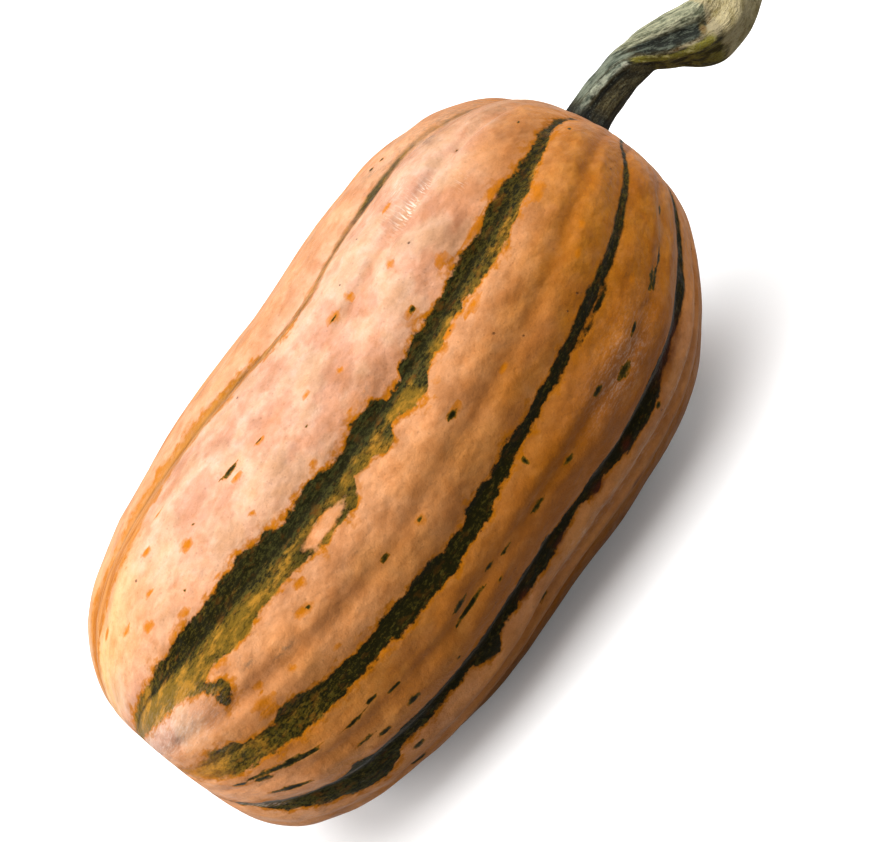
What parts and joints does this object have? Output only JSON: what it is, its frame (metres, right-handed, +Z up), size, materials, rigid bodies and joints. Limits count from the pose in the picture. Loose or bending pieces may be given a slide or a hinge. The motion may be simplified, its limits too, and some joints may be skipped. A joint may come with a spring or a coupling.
{
  "type": "delicata squash",
  "caption": "Whole ribbed, oblong winter squash with green-striped peach skin and a dry twisted stem, lying on its side.",
  "frame": {"origin": "the middle of the flat spot on the underside that the squash rests on", "axes": "+X runs along the squash from the blossom end towards the stem, +Z is up, and the greener striped side faces -Y"},
  "size_m": [0.2054, 0.0875, 0.0868],
  "materials": {
    "skin": "thin hard rind with a soft waxy sheen, peach with dark green stripes in its furrows",
    "bark": "dry, ridged and matt, grey-green to blackish with an olive ridge"
  },
  "bodies": {
    "root": {"squash_body": "skin", "stem": "bark"}
  },
  "joints": []
}
